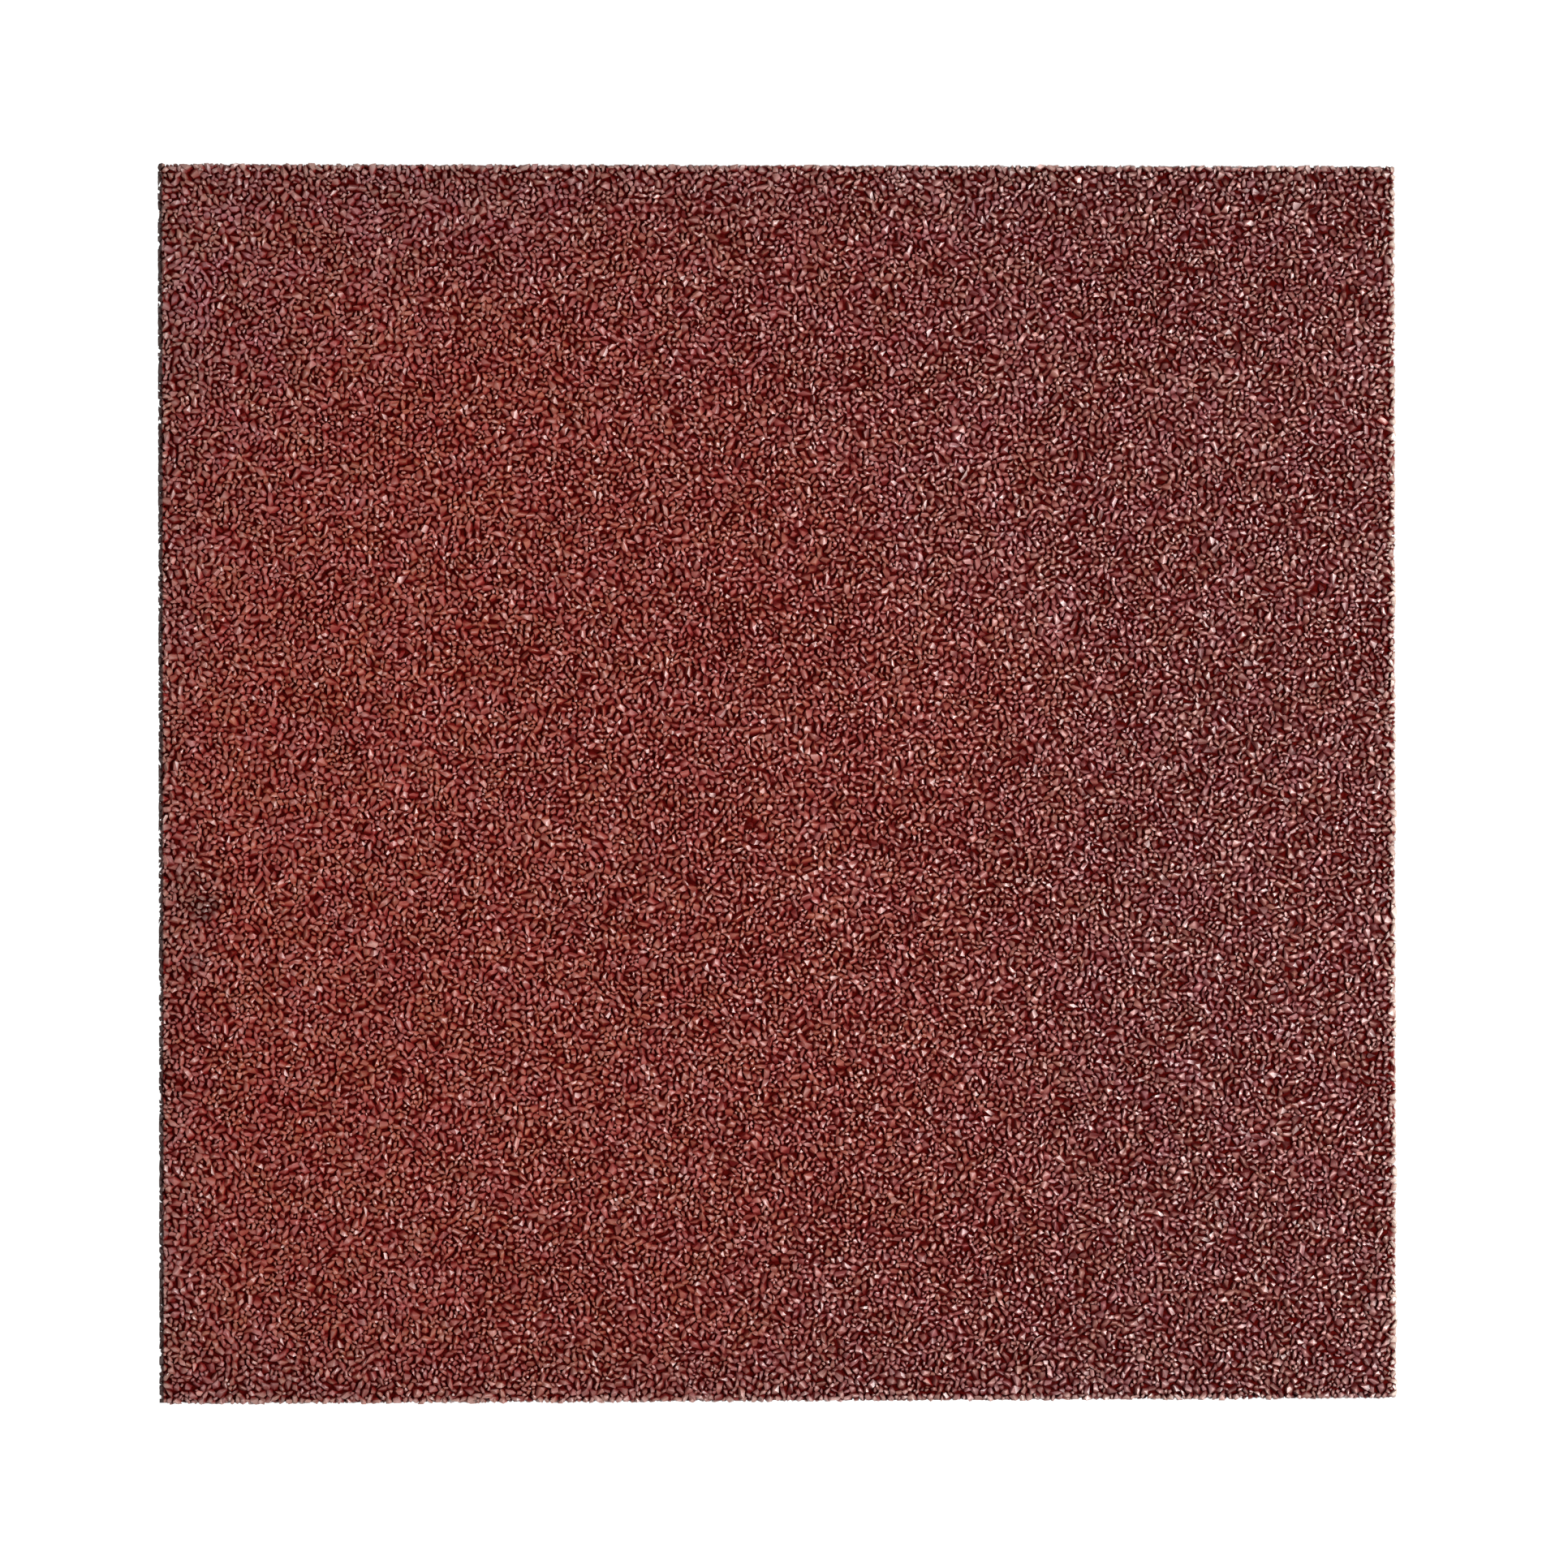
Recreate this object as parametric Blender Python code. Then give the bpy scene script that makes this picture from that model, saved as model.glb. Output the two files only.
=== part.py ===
"""Square rubber paver tile, pressed as one piece from coloured rubber granules.

Metres, +Z up. The origin is the centre of the underside, and the walking surface
faces +Z. Run with: blender --background --python part.py
"""

import math

import bmesh
import bpy

# Driving dimensions of the moulding
TILE_SIDE = 0.500
TILE_THICKNESS = 0.025

# How far the mould rounds the edges off
CORNER_RADIUS = 0.0020
TOP_EDGE_RADIUS = 0.0015
UNDERSIDE_EDGE_RADIUS = 0.0010
ARC_SEGMENTS = 4

# An edge shared by two faces that meet at less than this is shaded smooth
SMOOTH_BELOW = math.radians(35)

# Finish of the red rubber, in linear colour
BRICK_RED = (0.178, 0.048, 0.040, 1.0)
RUBBER_ROUGHNESS = 0.62


def empty_the_scene():
    for leftover in list(bpy.data.objects):
        bpy.data.objects.remove(leftover, do_unlink=True)


def make_collection(name):
    collection = bpy.data.collections.new(name)
    bpy.context.scene.collection.children.link(collection)
    return collection


def red_rubber():
    """Matt brick-red rubber, the overall colour of the bound granules."""
    material = bpy.data.materials.new("red_rubber_granulate")
    material.use_nodes = True
    shader = material.node_tree.nodes["Principled BSDF"]
    shader.inputs["Base Color"].default_value = BRICK_RED
    shader.inputs["Roughness"].default_value = RUBBER_ROUGHNESS
    shader.inputs["Metallic"].default_value = 0.0
    return material


def is_upright(edge):
    """True for an edge that runs straight up, at a corner of the plan."""
    low, high = sorted(vertex.co.z for vertex in edge.verts)
    return high - low > TILE_THICKNESS / 2


def rim_edges(block, height):
    """The edges around the face that lies at this height."""
    return [
        edge
        for edge in block.edges
        if all(abs(vertex.co.z - height) < 1e-6 for vertex in edge.verts)
        and len({round(face.normal.z) for face in edge.link_faces}) == 2
    ]


def round_off(block, edges, radius):
    bmesh.ops.bevel(
        block,
        geom=edges,
        affect="EDGES",
        offset=radius,
        segments=ARC_SEGMENTS,
        profile=0.5,
        material=-1,
        clamp_overlap=True,
    )


def make_tile(collection):
    """One pressed block: rounded plan corners, then both rims eased."""
    block = bmesh.new()
    bmesh.ops.create_cube(block, size=1.0)
    bmesh.ops.scale(block, vec=(TILE_SIDE, TILE_SIDE, TILE_THICKNESS), verts=block.verts)
    bmesh.ops.translate(block, vec=(0, 0, TILE_THICKNESS / 2), verts=block.verts)

    round_off(block, [edge for edge in block.edges if is_upright(edge)], CORNER_RADIUS)
    block.normal_update()
    round_off(block, rim_edges(block, TILE_THICKNESS), TOP_EDGE_RADIUS)
    block.normal_update()
    round_off(block, rim_edges(block, 0.0), UNDERSIDE_EDGE_RADIUS)

    mesh = bpy.data.meshes.new("rubber_tile")
    block.to_mesh(mesh)
    block.free()
    mesh.shade_smooth()
    mesh.set_sharp_from_angle(angle=SMOOTH_BELOW)
    mesh.materials.append(red_rubber())

    tile = bpy.data.objects.new("rubber_tile", mesh)
    collection.objects.link(tile)
    return tile


def main():
    empty_the_scene()
    make_tile(make_collection("rubber_paver_tile"))


main()
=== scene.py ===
"""Looks of the rubber paver tile, with every granule of its open surface as a real chip.

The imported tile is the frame. A core slab stands for the bound mass inside it. Thousands of
separate rubber chips, pressed against the mould's six faces and joined into a few meshes,
make the surface that is seen. Metres, +Z up, origin at the centre of the underside.
"""

import math

import bmesh
import bpy
import numpy as np
from mathutils import Matrix, Vector
from mathutils.kdtree import KDTree


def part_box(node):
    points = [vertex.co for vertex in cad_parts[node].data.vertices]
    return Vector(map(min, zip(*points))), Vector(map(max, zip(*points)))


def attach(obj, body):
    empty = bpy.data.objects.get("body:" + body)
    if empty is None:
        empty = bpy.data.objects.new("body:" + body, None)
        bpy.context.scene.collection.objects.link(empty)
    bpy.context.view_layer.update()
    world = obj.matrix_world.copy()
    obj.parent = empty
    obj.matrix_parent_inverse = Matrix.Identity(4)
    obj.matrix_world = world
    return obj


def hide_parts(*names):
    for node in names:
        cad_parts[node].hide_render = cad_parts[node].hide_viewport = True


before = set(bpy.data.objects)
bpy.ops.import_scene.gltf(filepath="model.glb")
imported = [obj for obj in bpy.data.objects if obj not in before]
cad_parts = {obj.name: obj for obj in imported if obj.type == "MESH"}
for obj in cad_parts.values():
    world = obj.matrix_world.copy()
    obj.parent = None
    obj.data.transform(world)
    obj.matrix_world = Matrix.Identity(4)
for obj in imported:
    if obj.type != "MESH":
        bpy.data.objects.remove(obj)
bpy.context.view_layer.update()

NODE = "rubber_tile"
BODY = "root"
TILE_LOW, TILE_HIGH = (np.array(corner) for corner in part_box(NODE))
TILE_SIZE = TILE_HIGH - TILE_LOW
TILE_MIDDLE = (TILE_LOW + TILE_HIGH) / 2

# Granules: about how wide they are, and how much they differ
SEED = 20
TOP_PITCH = 0.00282
SIDE_PITCH = 0.00280
UNDERSIDE_PITCH = 0.00410
SIZE_SPREAD = 0.33
SIZE_LIMITS = (0.58, 1.62)

# How they are thrown and eased apart
PACKING = 0.93
EASING_TURNS = 24
EASING_STEP = 0.25
TURNS_PER_TREE = 4
NEIGHBOURS = 9

# In pitches: how far out the left border's chips move, and how much lower a side's layout is
LEFT_SHIFT = 0.5
SIDE_MARGIN = 1.8

# The shape of a chip, which starts about one unit in radius
SHAPES = 60
CORNERS = 10
UNDERSIDE_CORNERS = 8
CORNERS_ABOVE = 1.5
CORNER_SCATTER = 0.26
LEAN = math.radians(30)
CHIP_OVERLAP = 1.15
LONG_SHAPE = (1.00, 2.20)
STANDING = (0.75, 1.05)

# How the mould presses them: depths below its face, as shares of a chip or in metres
MIDDLE_DEPTH = (0.85, 1.10)
SPRING_BACK = 0.00030
PRESS_TILT = math.radians(12)
PIT_SHARE = 0.004
PIT_DEPTH = (0.0005, 0.0010)
SWELL_WAVES = 24
SWELL_LENGTH = (0.0034, 0.0050)
SWELL_DEPTH = 0.00026
RIM_BUMPS = 0.0011
UPRIGHT_BUMPS = 0.3
CUT_SIDE = 0.02

# Small crumbs that lie in the gaps between the granules of the walking surface
GAP_TRIES = 5
GAP_SEARCH = (0.9, 1.6)
GAP_NEIGHBOURS = 6
GAP_LEAST = 0.00042
GAP_FILL = 1.30
CHIP_OUTLINE = 0.82
CRUMB_RADIUS = (0.00045, 0.00090)
CRUMB_DEPTH = (0.0001, 0.0004)

# Pieces that the chips are joined into, and the place of a chip in its cell of the map
TOP_STRIPS = 5
CRUMB_STRIPS = 1
UNDERSIDE_STRIPS = 2
MAP_NAME = "OFBake"
MAP_REACH = 2.2
MAP_MARGIN = 0.1

# The core behind them
CORE_INSET = 0.0019
CORE_ROUNDING = 0.002

TINY = 1e-9


def chip_shape(rng, corner_count):
    """Corners and triangles of one angular chip about one unit in radius, its lowest faces first."""
    golden = math.pi * (3 - math.sqrt(5))
    while True:
        work = bmesh.new()
        for index in range(corner_count):
            height = 1 - 2 * ((index + 0.5) / corner_count) ** CORNERS_ABOVE
            ring = math.sqrt(1 - height * height)
            around = golden * index
            point = Vector((ring * math.cos(around), ring * math.sin(around), height))
            work.verts.new(point + Vector(rng.uniform(-CORNER_SCATTER, CORNER_SCATTER, 3)))
        hull = bmesh.ops.convex_hull(work, input=work.verts)
        whole = not hull["geom_interior"] and not hull["geom_unused"]
        angle = rng.uniform(-LEAN, LEAN)
        axis = Vector((*rng.normal(size=2), 0)).normalized()
        lean = Matrix.Rotation(angle, 3, axis)
        bmesh.ops.rotate(work, verts=work.verts, cent=(0, 0, 0), matrix=lean)
        bmesh.ops.recalc_face_normals(work, faces=work.faces)
        work.verts.index_update()
        faces = sorted(work.faces, key=lambda face: face.normal.z)
        corners = np.array([vert.co for vert in work.verts])
        triangles = np.array([[vert.index for vert in face.verts] for face in faces])
        work.free()
        if whole:
            return corners, triangles


def tree_of(middle):
    """A tree of the chips' middles, for finding those near a spot."""
    tree = KDTree(len(middle))
    for index, (x, y) in enumerate(middle):
        tree.insert((x, y, 0), index)
    tree.balance()
    return tree


def nearest(tree, spots, number):
    """The numbers of the chips nearest to each spot."""
    return np.array([[found[1] for found in tree.find_n((x, y, 0), number)] for x, y in spots])


def swell(rng, middle):
    """0 to 1 in waves a few chips long, for the clumps that the mould pressed less."""
    wave = math.tau / rng.uniform(*SWELL_LENGTH, SWELL_WAVES)
    around, start = rng.uniform(0, math.tau, (2, SWELL_WAVES))
    x, y = middle[:, :1], middle[:, 1:]
    waves = np.cos(x * wave * np.cos(around) + y * wave * np.sin(around) + start)
    return np.clip(0.5 + waves.sum(1) / math.sqrt(2 * SWELL_WAVES), 0, 1)


def shaped(rng, middle, radius, low):
    """A layout: where each chip lies, how large, long and turned it is, and how much lower it sits."""
    count = len(middle)
    slim = rng.uniform(*LONG_SHAPE, count) ** 0.5
    turn = rng.uniform(0, math.tau, count)
    return {"middle": middle, "radius": radius, "low": low, "slim": slim, "turn": turn}


def packed_layout(rng, width, height, pitch):
    """Chips over a rectangle, thrown at random and then eased apart."""
    columns = round(width / (pitch * PACKING))
    rows = max(1, round(height / (pitch * PACKING)))
    count = rows * columns
    row, column = np.divmod(np.arange(count), columns)
    cell = np.stack([column, row], 1) + rng.uniform(0, 1, (count, 2))
    span = np.array([width, height])
    middle = cell / (columns, rows) * span - span / 2
    radius = np.clip(rng.normal(1, SIZE_SPREAD, count), *SIZE_LIMITS) * pitch / 2
    for turn in range(EASING_TURNS):
        if turn % TURNS_PER_TREE == 0:
            near = nearest(tree_of(middle), middle, NEIGHBOURS)
        gap = middle[near] - middle[:, None]
        distance = np.maximum(np.linalg.norm(gap, axis=2), TINY)
        push = np.clip((radius[near] + radius[:, None]) / distance - 1, 0, 1)
        push[near == np.arange(count)[:, None]] = 0
        middle = middle - EASING_STEP * (gap * push[:, :, None]).sum(1)
        middle = np.clip(middle, -span / 2, span / 2)
    pit = rng.uniform(size=count) < PIT_SHARE
    low = np.where(pit, rng.uniform(*PIT_DEPTH, count), 0) + SWELL_DEPTH * swell(rng, middle)
    return shaped(rng, middle, radius, low)


def gap_layout(rng, layout, width, height):
    """Small crumbs for the widest gaps that another layout leaves, looked for just outside its chips."""
    beside = np.repeat(layout["radius"], GAP_TRIES)
    beside = beside * rng.uniform(*GAP_SEARCH, len(beside))
    around = rng.uniform(0, math.tau, len(beside))
    towards = np.stack([np.cos(around), np.sin(around)], 1)
    spot = np.repeat(layout["middle"], GAP_TRIES, 0) + beside[:, None] * towards
    spot = spot[(np.abs(spot) < (width / 2, height / 2)).all(1)]
    near = nearest(tree_of(layout["middle"]), spot, GAP_NEIGHBOURS)
    x, y = np.moveaxis(spot[:, None] - layout["middle"][near], 2, 0)
    turn, slim = layout["turn"][near], layout["slim"][near]
    reach = CHIP_OUTLINE * CHIP_OVERLAP * layout["radius"][near]
    along = (x * np.cos(turn) + y * np.sin(turn)) / (reach * slim)
    across = (y * np.cos(turn) - x * np.sin(turn)) * slim / reach
    inside = 1 / np.maximum(np.hypot(along, across), TINY)
    free = ((1 - inside) * np.hypot(x, y)).min(1)
    spot, free = spot[free > GAP_LEAST], free[free > GAP_LEAST]
    tree = tree_of(spot)
    taken = np.zeros(len(spot), bool)
    kept = []
    for index in np.argsort(-free):
        if not taken[index]:
            kept.append(index)
            around_it = tree.find_range((*spot[index], 0), 2 * free[index])
            taken[[found[1] for found in around_it]] = True
    radius = np.clip(free[kept] * GAP_FILL, *CRUMB_RADIUS)
    low = rng.uniform(*CRUMB_DEPTH, len(kept))
    return shaped(rng, spot[kept], radius, low)


def pressed_chips(rng, shapes, layout, side):
    """Corners, triangles, map places and numbers of the chips that one face of the mould pressed.

    side gives the face: two directions along it, the one out of it, and how far out it lies.
    """
    labels = ("middle", "radius", "slim", "turn", "low")
    middle, radius, slim, turn, low = (layout[label] for label in labels)
    count = len(middle)
    chosen = rng.integers(len(shapes), size=count)
    corners = np.array([shape[0] for shape in shapes])[chosen]
    triangles = np.array([shape[1] for shape in shapes])[chosen]
    rim = np.linalg.norm(corners[:, :, :2], axis=2)
    size = np.stack([slim, 1 / slim, rng.uniform(*STANDING, count)], 1)
    size *= (radius * CHIP_OVERLAP)[:, None]
    corners = corners * size[:, None]
    cosine, sine = np.cos(turn)[:, None], np.sin(turn)[:, None]
    u = corners[:, :, 0] * cosine - corners[:, :, 1] * sine
    v = corners[:, :, 0] * sine + corners[:, :, 1] * cosine
    depth = size[:, 2] * rng.uniform(*MIDDLE_DEPTH, count)
    sunk = low + SPRING_BACK * rng.uniform(0, 1, count) ** 2
    w = corners[:, :, 2] - depth[:, None] - low[:, None]
    tilt = rng.normal(0, PRESS_TILT, (2, count, 1))
    cap = -sunk[:, None] + np.tan(tilt[0]) * u + np.tan(tilt[1]) * v
    w = np.minimum(np.minimum(w, cap), 0)
    place = np.stack([u, v], 2) / (MAP_REACH * CHIP_OVERLAP * radius[:, None, None]) + 0.5
    along, across, out, reach = side
    at = middle[:, None]
    world = (
        (at[..., :1] + u[..., None]) * np.array(along)
        + (at[..., 1:] + v[..., None]) * np.array(across)
        + (reach + w[..., None]) * np.array(out)
        + TILE_MIDDLE
    )
    bump = RIM_BUMPS * rng.uniform(0, 1, (count, 1, 3)) ** 2
    bump = bump * (1 - np.abs(np.array(out))) * (1, 1, UPRIGHT_BUMPS)
    world = np.clip(world, TILE_LOW + bump * (CUT_SIDE, 1, 1), TILE_HIGH - bump)
    below = np.minimum((TILE_HIGH - world).min(2), (world - TILE_LOW).min(2))
    return {
        "corners": world,
        "triangles": triangles,
        "place": place,
        "tone": rng.uniform(0, 1, count),
        "kind": rng.uniform(0, 1, count),
        "depth": below,
        "rim": rim,
        "middle": middle,
    }


def placed(name, data):
    """A new object in the scene."""
    thing = bpy.data.objects.new(name, data)
    bpy.context.scene.collection.objects.link(thing)
    return thing


def finished_mesh(name, work):
    """The mesh of a bmesh that is done with."""
    mesh = bpy.data.meshes.new(name)
    work.to_mesh(mesh)
    work.free()
    return mesh


def joined_chips(name, chips, picked):
    """One mesh object of the picked chips, with a cell of its own for each on the map."""
    corners, triangles = chips["corners"][picked], chips["triangles"][picked]
    count, per_chip = corners.shape[:2]
    faces = triangles + (np.arange(count) * per_chip)[:, None, None]
    loops = faces.reshape(-1).astype(np.int32)
    number = len(loops) // 3
    mesh = bpy.data.meshes.new(name)
    mesh.vertices.add(count * per_chip)
    mesh.vertices.foreach_set("co", corners.reshape(-1).astype(np.float32))
    mesh.loops.add(len(loops))
    mesh.loops.foreach_set("vertex_index", loops)
    mesh.polygons.add(number)
    mesh.polygons.foreach_set("loop_start", np.arange(0, len(loops), 3, dtype=np.int32))
    mesh.polygons.foreach_set("loop_total", np.full(number, 3, dtype=np.int32))
    mesh.polygons.foreach_set("use_smooth", np.zeros(number, dtype=bool))
    cells = math.ceil(math.sqrt(count))
    row, column = np.divmod(np.arange(count), cells)
    cell = np.stack([column, row], 1)[:, None]
    within = MAP_MARGIN + (1 - 2 * MAP_MARGIN) * chips["place"][picked]
    spot = ((cell + within) / cells).reshape(-1, 2)
    layer = mesh.uv_layers.new(name=MAP_NAME)
    layer.uv.foreach_set("vector", spot[loops].reshape(-1).astype(np.float32))
    for label in ("tone", "kind", "depth", "rim"):
        values = np.broadcast_to(chips[label][picked].reshape(count, -1), (count, per_chip))
        made = mesh.attributes.new(label, "FLOAT", "POINT")
        made.data.foreach_set("value", values.reshape(-1).astype(np.float32))
    mesh.update()
    mesh.validate()
    return placed(name, mesh)


def strips(name, chips, number):
    """The chips of one face of the tile, in a few pieces side by side."""
    order = chips["middle"][:, 1]
    bounds = np.linspace(order.min(), order.max() + TINY, number + 1)
    for index in range(number):
        picked = (order >= bounds[index]) & (order < bounds[index + 1])
        yield joined_chips(f"{name}_{index + 1}", chips, picked)


def granule_pieces():
    """Every chip of the top, the four sides and the underside."""
    rng = np.random.default_rng(SEED)
    shapes = [chip_shape(rng, CORNERS) for _ in range(SHAPES)]
    plain_shapes = [chip_shape(rng, UNDERSIDE_CORNERS) for _ in range(SHAPES)]
    half = TILE_SIZE / 2
    inner = TILE_SIZE[:2] - TOP_PITCH
    upwards = ((1, 0, 0), (0, 1, 0), (0, 0, 1), half[2])
    downwards = ((1, 0, 0), (0, -1, 0), (0, 0, -1), half[2])

    # The left border cuts through its chips, so they lie further out than those on the right
    layout = packed_layout(rng, *inner, TOP_PITCH)
    x = layout["middle"][:, 0]
    x -= TOP_PITCH * LEFT_SHIFT * (0.5 - x / inner[0])
    top = pressed_chips(rng, shapes, layout, upwards)
    yield from strips("walking_surface_granules", top, TOP_STRIPS)

    crumbs = pressed_chips(rng, plain_shapes, gap_layout(rng, layout, *inner), upwards)
    yield from strips("walking_surface_crumbs", crumbs, CRUMB_STRIPS)

    layout = packed_layout(rng, *inner, UNDERSIDE_PITCH)
    under = pressed_chips(rng, plain_shapes, layout, downwards)
    yield from strips("underside_granules", under, UNDERSIDE_STRIPS)

    height = TILE_SIZE[2] - SIDE_MARGIN * SIDE_PITCH
    sides = []
    for along, out in (
        ((1, 0, 0), (0, -1, 0)),
        ((0, 1, 0), (1, 0, 0)),
        ((-1, 0, 0), (0, 1, 0)),
        ((0, -1, 0), (-1, 0, 0)),
    ):
        layout = packed_layout(rng, inner[0], height, SIDE_PITCH)
        sides.append(pressed_chips(rng, shapes, layout, (along, (0, 0, 1), out, half[0])))
    ring = {label: np.concatenate([side[label] for side in sides]) for label in sides[0]}
    yield joined_chips("side_granules", ring, np.ones(len(ring["tone"]), bool))


def bound_core():
    """The mass behind the granules: a slab a little inside the tile, with its edges rounded off."""
    work = bmesh.new()
    bmesh.ops.create_cube(work, size=1)
    bmesh.ops.scale(work, vec=Vector(TILE_SIZE - 2 * CORE_INSET), verts=work.verts)
    bmesh.ops.translate(work, vec=Vector(TILE_MIDDLE), verts=work.verts)
    bmesh.ops.bevel(
        work, geom=work.edges[:], offset=CORE_ROUNDING, offset_type="OFFSET", affect="EDGES",
        segments=3, profile=0.5, material=-1,
    )
    return placed("bound_crumb_core", finished_mesh("bound_crumb_core", work))


class Signal:
    """A number that changes over the surface: a node's output, with the usual signs for its maths."""

    def __init__(self, finish, socket):
        self.finish, self.socket = finish, socket

    def maths(self, operation, *values):
        return self.finish.node("Math", {"operation": operation}, dict(enumerate(values)))

    def __add__(self, other):
        return self.maths("ADD", self, other)

    def __radd__(self, other):
        return self.maths("ADD", other, self)

    def __sub__(self, other):
        return self.maths("SUBTRACT", self, other)

    def __rsub__(self, other):
        return self.maths("SUBTRACT", other, self)

    def __mul__(self, other):
        return self.maths("MULTIPLY", self, other)

    def __rmul__(self, other):
        return self.maths("MULTIPLY", other, self)

    def __truediv__(self, other):
        return self.maths("DIVIDE", self, other)

    def __pow__(self, other):
        return self.maths("POWER", self, other)

    def __abs__(self):
        return self.maths("ABSOLUTE", self)

    def or_larger(self, other):
        return self.maths("MAXIMUM", self, other)


class Finish:
    """One material's nodes, all added through one method."""

    def __init__(self, name):
        self.material = bpy.data.materials.new(name)
        self.material.use_nodes = True
        self.tree = self.material.node_tree
        self.shader = self.tree.nodes["Principled BSDF"]

    def node(self, kind, settings, sockets, output=0):
        """A node of this type, with its settings made first and its sockets fed after, as a signal."""
        made = self.tree.nodes.new("ShaderNode" + kind)
        for label, value in settings.items():
            setattr(made, label, value)
        for socket, value in sockets.items():
            self.feed(made.inputs[socket], value)
        return Signal(self, made.outputs[output])

    def feed(self, socket, value):
        """Links a signal to a socket, or sets a plain value there."""
        if isinstance(value, Signal):
            self.tree.links.new(value.socket, socket)
        else:
            socket.default_value = value

    def surface(self, label, value):
        """Gives the shader one of its values."""
        self.feed(self.shader.inputs[label], value)

    def place(self):
        """The spot on the tile, in its own metres."""
        return self.node("TexCoord", {}, {}, "Object")

    def along(self, axis):
        """How far along the tile's x, y or z the spot lies, for axis 0, 1 or 2."""
        return self.node("SeparateXYZ", {}, {0: self.place()}, axis)

    def own(self, label):
        """A number that the chip's mesh carries."""
        return self.node("Attribute", {"attribute_name": label}, {}, "Fac")

    def noise(self, waves, detail=2.0, roughness=0.5):
        """Soft clouds from 0 to 1, with this many waves a metre."""
        sockets = {"Vector": self.place(), "Scale": waves, "Detail": detail, "Roughness": roughness}
        return self.node("TexNoise", {}, sockets)

    def between(self, value, start, end):
        """0 where value is at start and 1 where it is at end, smoothly and held beyond them."""
        sockets = {"Value": value, "From Min": start, "From Max": end}
        return self.node("MapRange", {"interpolation_type": "SMOOTHSTEP"}, sockets)

    def mixed(self, share, first, second, blend="MIX"):
        """The first colour with this share of the second in it."""
        settings = {"data_type": "RGBA", "blend_type": blend, "clamp_factor": True}
        return self.node("Mix", settings, {0: share, 6: first, 7: second}, 2)

    def tinted(self, colour, tint, share=1.0):
        """The colour with this share of its light taken through the tint."""
        return self.mixed(share, colour, tint, "MULTIPLY")


# Colours of the granules, as linear red, green, blue and cover
BRICK_RED = (0.210, 0.0395, 0.0255, 1)
# Paler and greyer round the middle left: partly weathering, partly painted sheen of the light from the
# right
FADED_AND_SHEEN_RED = (0.196, 0.058, 0.052, 1)
# Greyer and less red to the right: painted sheen and painted shade against the stronger key light there,
# partly weathering
GREY_AND_SHEEN_RED = (0.156, 0.041, 0.035, 1)
GRIMY_RED = (0.180, 0.092, 0.082, 1)
PALE_RED = (0.42, 0.20, 0.17, 1)
STAINED = (0.070, 0.046, 0.038, 1)
# Pale tops of the chips: painted highlight, strongest to the right, with some wear
WORN_AND_HIGHLIGHT_RED = (0.46, 0.240, 0.222, 1)
# Pale beige: dusty at all the borders, and painted rim light along the right border
DUST_AND_RIM_LIGHT = (0.56, 0.46, 0.38, 1)
# Painted shadow: a dark line along the top of the left border
LEFT_SHADE_DARK = (0.026, 0.014, 0.013, 1)

# Tints: the left side lighter (painted light), broad clouds, the far borders darker (painted shade),
# single chips, and the deep gaps darker and deeper red (painted shade)
LEFT_LIGHT_TINT = (1.12, 1.17, 1.15, 1)
CLOUD_PURPLE, CLOUD_ORANGE = (1.01, 0.90, 1.08, 1), (0.99, 1.09, 0.89, 1)
FAR_SHADE_TINT = (0.92, 0.94, 0.95, 1)
CHIP_DULL, CHIP_BRIGHT = (0.84, 0.80, 0.80, 1), (1.16, 1.22, 1.22, 1)
CHIP_PURPLE, CHIP_ORANGE = (1.00, 0.94, 1.06, 1), (1.00, 1.06, 0.94, 1)
GAP_SHADE_LEFT, GAP_SHADE_RIGHT = (0.50, 0.02, 0.01, 1), (0.31, 0.02, 0.02, 1)

# Clouds, in waves a metre
BROAD_CLOUDS = 9
GRIME_CLOUDS = 28
HUE_CLOUDS = 75
STAIN_CLOUDS = 120
SKIN_GRAIN = 1800

# Where each change over the tile starts and ends, in metres along it
WARM_MIDDLE, WARM_REACH, WARM_RAGGED = (-0.085, -0.035), (0.26, 0.27), 0.9
PATCH_FADE = (1.25, 0.6)
RIGHT_FADE, RIGHT_RAGGED = (0.00, 0.25), 0.10
LEFT_FADE = (0.0, -0.25)
ACROSS = (-0.25, 0.18)
HUE_FADE = (0.35, 0.65)
GRIME_FADE, GRIME_RAGGED, GRIME_SHARE = (0.222, 0.252), 0.04, 0.35
FAR_MIDDLE, FAR_FADE = 0.02, (0.13, 0.26)
UPPER_FADE = (0.015, 0.020)
RIM_DUST, RIM_DUST_SHARE = (0.2445, 0.2495), 0.16
RIGHT_RIM_LIGHT, RIGHT_RIM_LIGHT_SHARE = (0.2455, 0.2496), 0.45
LEFT_SHADE_FADE, LEFT_SHADE_UPPER, LEFT_SHADE_SHARE = (-0.2477, -0.2486), (0.0205, 0.0230), 0.95

# Stains: middle, reach and strength of each
STAIN_RAGGED = 1.6
STAINS = (
    ((-0.236, -0.043), (0.013, 0.012), 0.25),
    ((-0.231, -0.049), (0.0055, 0.005), 0.5),
    ((-0.235, -0.071), (0.006, 0.004), 0.35),
)

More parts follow.
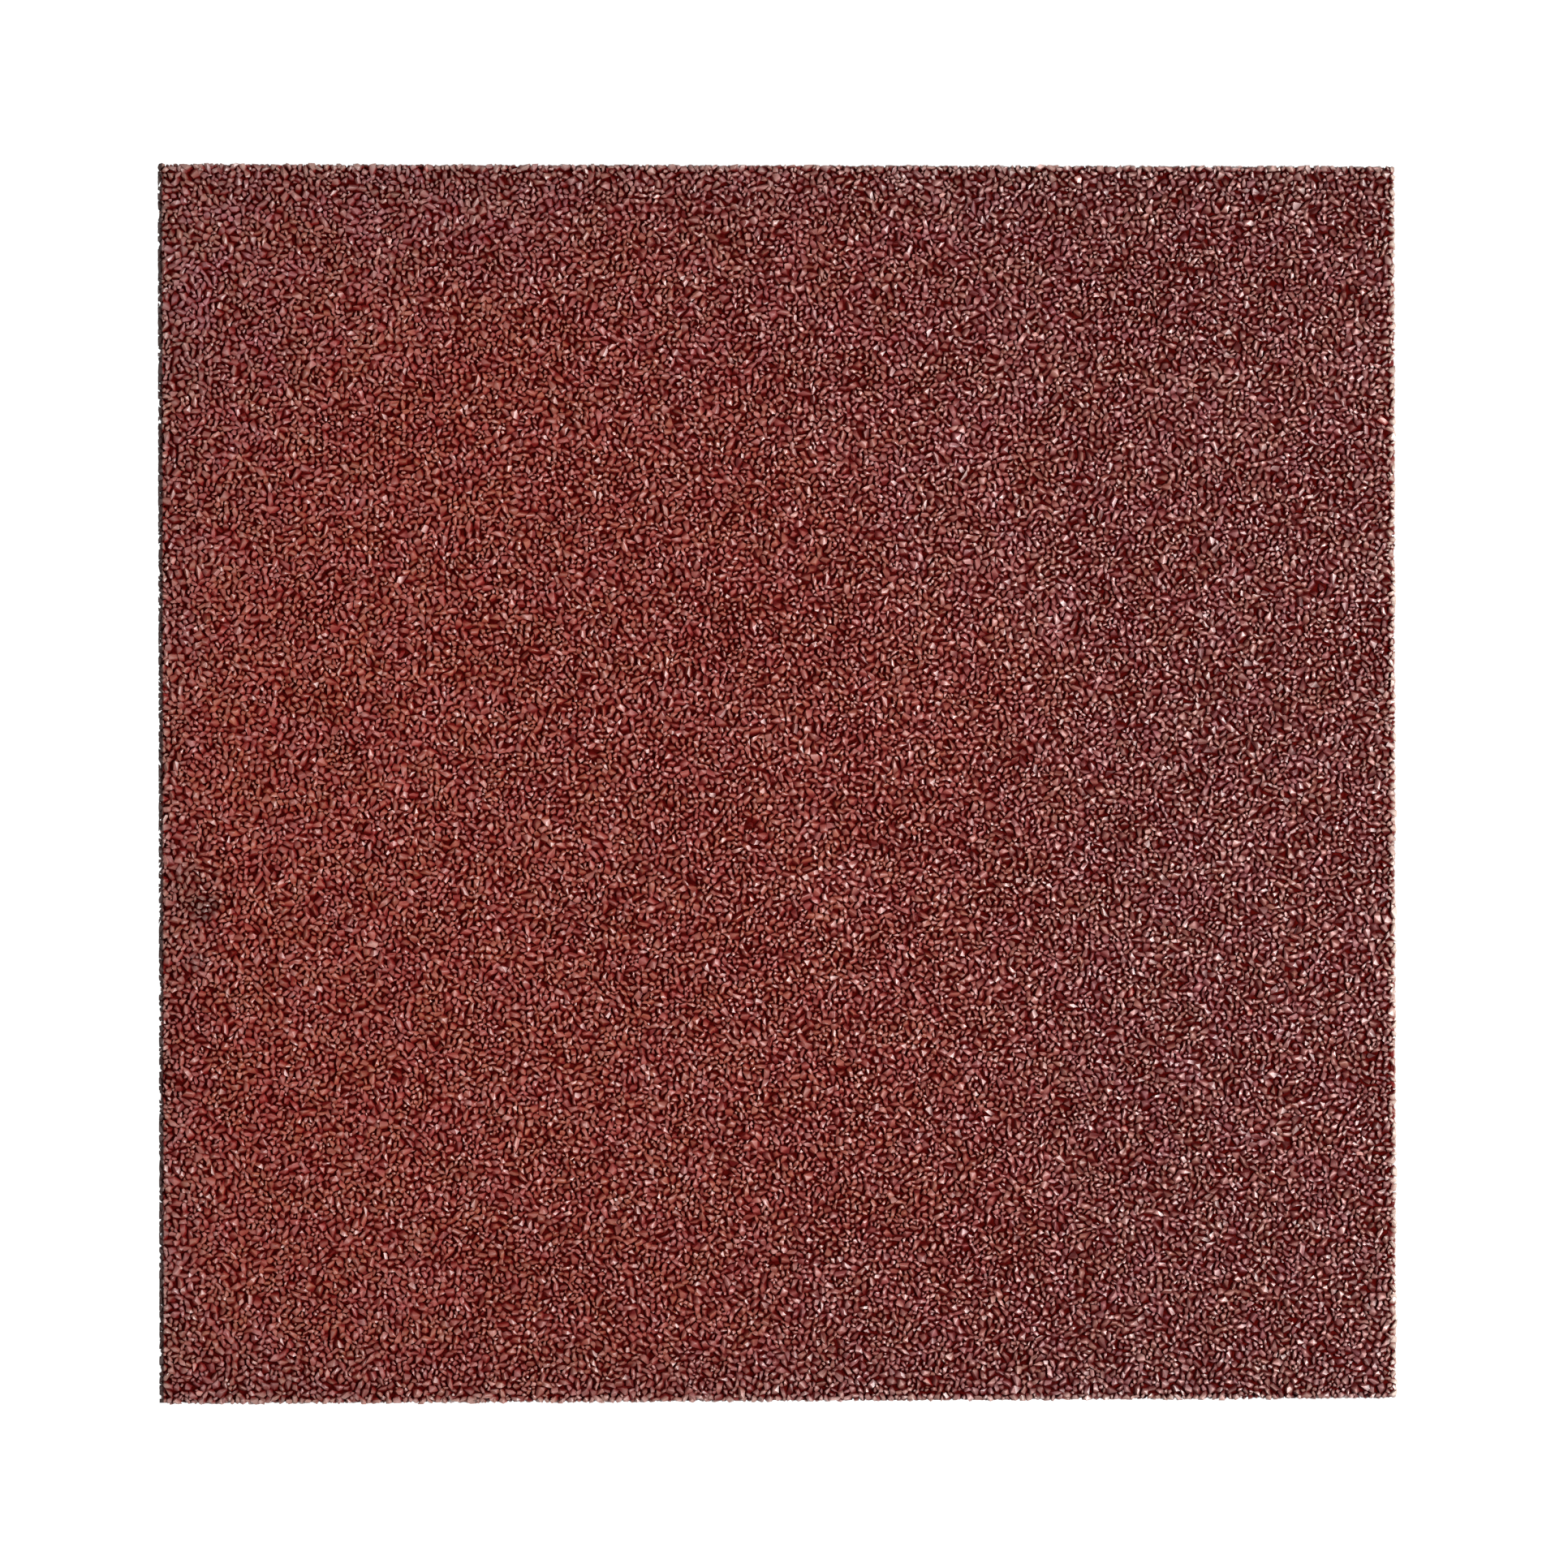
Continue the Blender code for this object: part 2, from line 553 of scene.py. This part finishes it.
# Changes over each chip: its own number for a pale one, its paler top (painted highlight, strongest to
# the right, with some wear), and its depth, which paints shade in its gaps and thins its coat there
PALE_KIND = (0.003, 0.002)
PALE_TOP_DEPTH, PALE_TOP_RIM = (0.00050, 0.0), (0.95, 0.25)
PALE_TOP_LEAST, PALE_TOP_BY_KIND, PALE_TOP_BY_ACROSS = 0.30, 0.62, 0.82
HOLLOW_DEPTH, HOLLOW_RIM = 0.00125, 0.44
GAP_SHADE_FADE, GAP_SHADE_BY_ACROSS = (0.58, 1.50), 0.14
COAT_FADE = (1.20, 0.45)


def patch(finish, x, y, middle, reach, ragged):
    """1 in a round patch of the tile that fades to 0 past its reach, with a ragged border."""
    far = (((x - middle[0]) / reach[0]) ** 2 + ((y - middle[1]) / reach[1]) ** 2) ** 0.5
    return finish.between(far + ragged, *PATCH_FADE)


def tile_colour(finish, x, y, out):
    """Brick red in its middle left; paler and greyer round it and to the right, partly weathering and
    partly painted sheen; lighter to the left and darker to the top and bottom as painted light and
    shade; grimy at its borders.
    """
    broad = finish.noise(BROAD_CLOUDS) - 0.5
    # Redder in the middle left, paler and greyer round it: partly weathering, partly painted sheen
    warm = patch(finish, x, y, WARM_MIDDLE, WARM_REACH, broad * WARM_RAGGED)
    colour = finish.mixed(warm, FADED_AND_SHEEN_RED, BRICK_RED)
    # Greyer and less red to the right: painted sheen and painted shade against the stronger key light
    # there, partly weathering
    right = finish.between(x + RIGHT_RAGGED * broad, *RIGHT_FADE)
    colour = finish.mixed(right, colour, GREY_AND_SHEEN_RED)
    # Painted light: lighter to the left, where the key light is weaker
    colour = finish.tinted(colour, LEFT_LIGHT_TINT, finish.between(x, *LEFT_FADE))
    clouds = finish.between(finish.noise(HUE_CLOUDS), *HUE_FADE)
    colour = finish.tinted(colour, finish.mixed(clouds, CLOUD_PURPLE, CLOUD_ORANGE))
    ragged = GRIME_RAGGED * (finish.noise(GRIME_CLOUDS) - 0.5)
    grime = finish.between(out + ragged, *GRIME_FADE)
    colour = finish.mixed(grime * GRIME_SHARE, colour, GRIMY_RED)
    # Painted shade: darker towards the top and bottom borders
    return finish.tinted(colour, FAR_SHADE_TINT, finish.between(abs(y - FAR_MIDDLE), *FAR_FADE))


def chip_colour(finish, colour, tone, kind):
    """Some chips duller and some brighter, some more purple and some more orange, a few pale."""
    light = finish.mixed(finish.between(tone, 0, 1), CHIP_DULL, CHIP_BRIGHT)
    colour = finish.tinted(colour, light)
    colour = finish.tinted(colour, finish.mixed(kind, CHIP_PURPLE, CHIP_ORANGE))
    return finish.mixed(finish.between(kind, *PALE_KIND), colour, PALE_RED)


def stained_colour(finish, colour, x, y):
    """Dark stains near the left border."""
    blotch = (finish.noise(STAIN_CLOUDS) - 0.5) * STAIN_RAGGED
    for middle, reach, strength in STAINS:
        stain = patch(finish, x, y, middle, reach, blotch)
        colour = finish.mixed(stain * strength, colour, STAINED)
    return colour


def granule_finish():
    """Red rubber in a satin film: paler on its tops as painted highlight with some wear, dark in its
    gaps as painted shade, dusty at its borders with painted rim light on the right and a painted shadow
    line along the top of the left.
    """
    finish = Finish("brick_red_granules")
    tone, kind, depth, rim = (finish.own(label) for label in ("tone", "kind", "depth", "rim"))
    x, y, z = (finish.along(axis) for axis in range(3))
    out = abs(x).or_larger(abs(y))
    across = finish.between(x, *ACROSS)
    colour = tile_colour(finish, x, y, out)
    colour = chip_colour(finish, colour, tone, kind)
    colour = stained_colour(finish, colour, x, y)

    # Painted highlight: paler on the chips' tops, more so to the right, with some wear
    wear_and_highlight = finish.between(depth, *PALE_TOP_DEPTH) * finish.between(rim, *PALE_TOP_RIM)
    wear_and_highlight = wear_and_highlight * (PALE_TOP_LEAST + PALE_TOP_BY_KIND * kind ** 2 + PALE_TOP_BY_ACROSS * across)
    colour = finish.mixed(wear_and_highlight, colour, WORN_AND_HIGHLIGHT_RED)

    # Dusty at all the borders, and painted rim light along the right border
    dust_and_rim_light = finish.between(out, *RIM_DUST) * RIM_DUST_SHARE
    dust_and_rim_light = dust_and_rim_light + finish.between(x, *RIGHT_RIM_LIGHT) * RIGHT_RIM_LIGHT_SHARE
    colour = finish.mixed(dust_and_rim_light * finish.between(z, *UPPER_FADE), colour, DUST_AND_RIM_LIGHT)
    # Painted shadow: a dark line along the top of the left border, where the coat is also left off
    left_shade_line = finish.between(x, *LEFT_SHADE_FADE) * finish.between(z, *LEFT_SHADE_UPPER)
    colour = finish.mixed(left_shade_line * LEFT_SHADE_SHARE, colour, LEFT_SHADE_DARK)

    # Painted shade: darker and deeper red down in the gaps and at the chips' rims, more so to the right
    hollow = depth / HOLLOW_DEPTH + HOLLOW_RIM * rim
    sunk = finish.between(hollow + GAP_SHADE_BY_ACROSS * across, *GAP_SHADE_FADE)
    colour = finish.tinted(colour, finish.mixed(across, GAP_SHADE_LEFT, GAP_SHADE_RIGHT), sunk)

    finish.surface("Base Color", colour)
    finish.surface("Roughness", 0.50 + 0.15 * tone)
    finish.surface("Specular IOR Level", 0.2)
    finish.surface("Coat Weight", finish.between(hollow, *COAT_FADE) * (1 - left_shade_line))
    finish.surface("Coat Roughness", 0.40)
    finish.surface("Coat IOR", 1.52)
    grain = finish.noise(SKIN_GRAIN, 3, 0.6)
    bump = finish.node("Bump", {}, {"Strength": 0.5, "Distance": 0.00012, "Height": grain})
    finish.surface("Normal", bump)
    return finish.material


# The core's two colours, dark and deep red as painted shade down between the granules, and its grains a
# metre
CORE_PALE, CORE_DARK = (0.058, 0.0024, 0.0018, 1), (0.028, 0.0009, 0.0007, 1)
CORE_GRAINS = 420.0


def core_finish():
    """The mass seen down between the granules, its colour painted dark as their shade."""
    finish = Finish("bound_crumb_core")
    grain = finish.node("TexVoronoi", {}, {"Vector": finish.place(), "Scale": CORE_GRAINS})
    finish.surface("Base Color", finish.mixed(grain, CORE_PALE, CORE_DARK))
    finish.surface("Roughness", 0.9)
    finish.surface("Specular IOR Level", 0.0)
    bump = finish.node("Bump", {}, {"Strength": 1.0, "Distance": 0.0010, "Height": 1 - grain})
    finish.surface("Normal", bump)
    return finish.material


# The floor's size, and how far under the tile it lies
FLOOR_SIZE = 6
FLOOR_GAP = 0.0002


def floor_finish():
    """Pale and a little bright by itself, as a lit studio floor is."""
    finish = Finish("pale_floor")
    finish.surface("Base Color", (0.20, 0.20, 0.20, 1))
    finish.surface("Roughness", 0.9)
    finish.surface("Specular IOR Level", 0.0)
    finish.surface("Emission Color", (1, 1, 1, 1))
    finish.surface("Emission Strength", 0.95)
    return finish.material


def make_floor():
    """A plain pale floor, well past what any view takes in."""
    work = bmesh.new()
    bmesh.ops.create_grid(work, x_segments=1, y_segments=1, size=FLOOR_SIZE)
    bmesh.ops.translate(work, vec=(0, 0, TILE_LOW[2] - FLOOR_GAP), verts=work.verts)
    floor = placed("pale_floor", finished_mesh("pale_floor", work))
    floor.data.materials.append(floor_finish())


# Soft boxes: where each is, the side of its square, and its power in watts
SOFT_BOXES = {
    "key_box": ((1.00, -0.12, 1.16), 0.5, 43),
    "fill_box": ((-1.2, 0.2, 1.9), 2.2, 28),
}
STUDIO_LIGHT = 0.12


def make_lights():
    """Square soft boxes that face the middle of the tile, and a little light from all round."""
    for name, (place, side, power) in SOFT_BOXES.items():
        lamp = bpy.data.lights.new(name, "AREA")
        lamp.shape = "SQUARE"
        lamp.size = side
        lamp.energy = power
        light = placed(name, lamp)
        light.location = place
        facing = Vector(TILE_MIDDLE) - Vector(place)
        light.rotation_euler = facing.to_track_quat("-Z", "Y").to_euler()
        light.visible_camera = False
    world = bpy.data.worlds.new("studio")
    world.use_nodes = True
    sky = world.node_tree.nodes["Background"]
    sky.inputs["Color"].default_value = (1, 1, 1, 1)
    sky.inputs["Strength"].default_value = STUDIO_LIGHT
    bpy.context.scene.world = world
    bpy.context.scene.view_settings.view_transform = "Standard"


# The photograph's framing, in its own pixels, and the place of the camera above the tile
PHOTO_SIDE = 1932
TILE_IN_PHOTO = 1527
TILE_CENTRE_IN_PHOTO = (961, 965)
CAMERA_HEIGHT = 2.0
CAMERA_LEFT = 0.056
CAMERA_ROLL = math.radians(-0.08)
SENSOR = 36.0


def make_camera():
    """Above the tile and a touch to its left, aimed at its middle and turned as the photograph is."""
    target = Vector((TILE_MIDDLE[0], TILE_MIDDLE[1], TILE_HIGH[2]))
    data = bpy.data.cameras.new("camera")
    camera = placed("camera", data)
    camera.location = target + Vector((-CAMERA_LEFT, 0, CAMERA_HEIGHT))
    back = camera.location - target
    frame_width = TILE_SIZE[0] * PHOTO_SIDE / TILE_IN_PHOTO
    data.sensor_width = SENSOR
    data.lens = SENSOR * back.length / frame_width
    out = back.normalized()
    right = Vector((0, 1, 0)).cross(out).normalized()
    facing = Matrix((right, out.cross(right), out)).transposed()
    camera.rotation_euler = (facing @ Matrix.Rotation(CAMERA_ROLL, 3, "Z")).to_euler()
    data.shift_x = (PHOTO_SIDE / 2 - TILE_CENTRE_IN_PHOTO[0]) / PHOTO_SIDE
    data.shift_y = (TILE_CENTRE_IN_PHOTO[1] - PHOTO_SIDE / 2) / PHOTO_SIDE
    bpy.context.scene.camera = camera


make_camera()
make_lights()
make_floor()
red_granules = granule_finish()
for piece in granule_pieces():
    piece.data.materials.append(red_granules)
    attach(piece, BODY)
core = bound_core()
core.data.materials.append(core_finish())
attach(core, BODY)
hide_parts(NODE)
